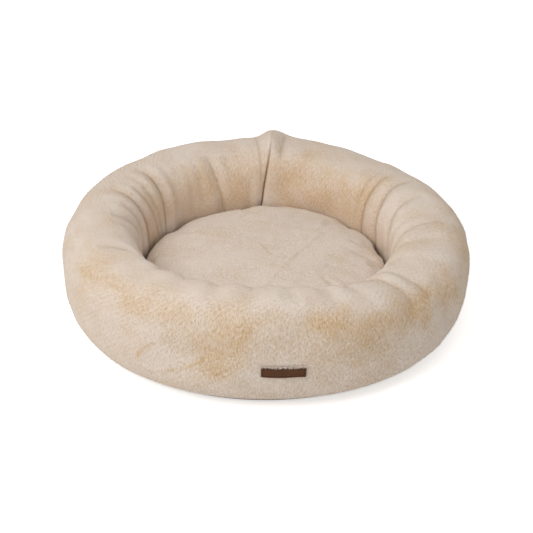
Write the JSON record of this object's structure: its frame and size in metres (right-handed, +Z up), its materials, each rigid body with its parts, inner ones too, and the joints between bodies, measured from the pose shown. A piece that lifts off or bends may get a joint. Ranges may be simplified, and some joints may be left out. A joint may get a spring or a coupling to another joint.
{
  "type": "round pet bed",
  "caption": "Round pet bed: a plump plush ring on a non-slip base, with a loose zipped cushion that lifts out of the nest.",
  "frame": {"origin": "on the floor, in the middle of the bed's outline", "axes": "+Z up, the front with the patch facing -Y, +X to the right seen from the front"},
  "size_m": [0.5971, 0.5884, 0.1626],
  "materials": {
    "plush": "long soft cream plush with brushed, darker patches",
    "cushion_plush": "short smooth cream plush",
    "fibre_fill": "loose white polyester fibre",
    "base_fabric": "woven base fabric with small non-slip dots",
    "lining_fabric": "plain woven lining",
    "patch_leather": "brown leather look with a pressed line",
    "pad_case": "thin white non-woven case",
    "zip_tape": "woven zip tape",
    "zip_teeth": "moulded plastic",
    "zip_metal": "satin painted die-cast metal"
  },
  "bodies": {
    "bed": {"bolster_cover": "plush", "bolster_filling": "fibre_fill", "base_panel": "base_fabric", "floor_wadding": "fibre_fill", "floor_lining": "lining_fabric", "label_patch": "patch_leather"},
    "cushion": {"cushion_top_panel": "cushion_plush", "cushion_bottom_panel": "lining_fabric", "pad_case_top": "pad_case", "pad_case_bottom": "pad_case", "pad_filling": "fibre_fill", "zip_tape_upper": "zip_tape", "zip_tape_lower": "zip_tape", "zip_teeth_upper": "zip_teeth", "zip_teeth_lower": "zip_teeth", "zip_top_stop": "zip_metal", "zip_bottom_stop": "zip_metal"},
    "zip_slider": {"zip_slider_body": "zip_metal"},
    "zip_pull": {"zip_pull_tab": "zip_metal"}
  },
  "joints": [
    {"name": "cushion_lift", "type": "slide", "parent": "bed", "child": "cushion", "axis": [0, 0, 1], "range_m": [0, 0.25]},
    {"name": "zip_travel", "type": "hinge", "parent": "cushion", "child": "zip_slider", "pos_m": [0, 0, 0.0289], "axis": [0, 0, 1], "range_deg": [0, 117.5], "deforming": ["zip_teeth_upper", "zip_teeth_lower"]},
    {"name": "pull_flip", "type": "hinge", "parent": "zip_slider", "child": "zip_pull", "pos_m": [0.14913, 0.08971, 0.02887], "axis": [-0.5205, -0.3131, -0.7944], "range_deg": [0, 165]}
  ]
}
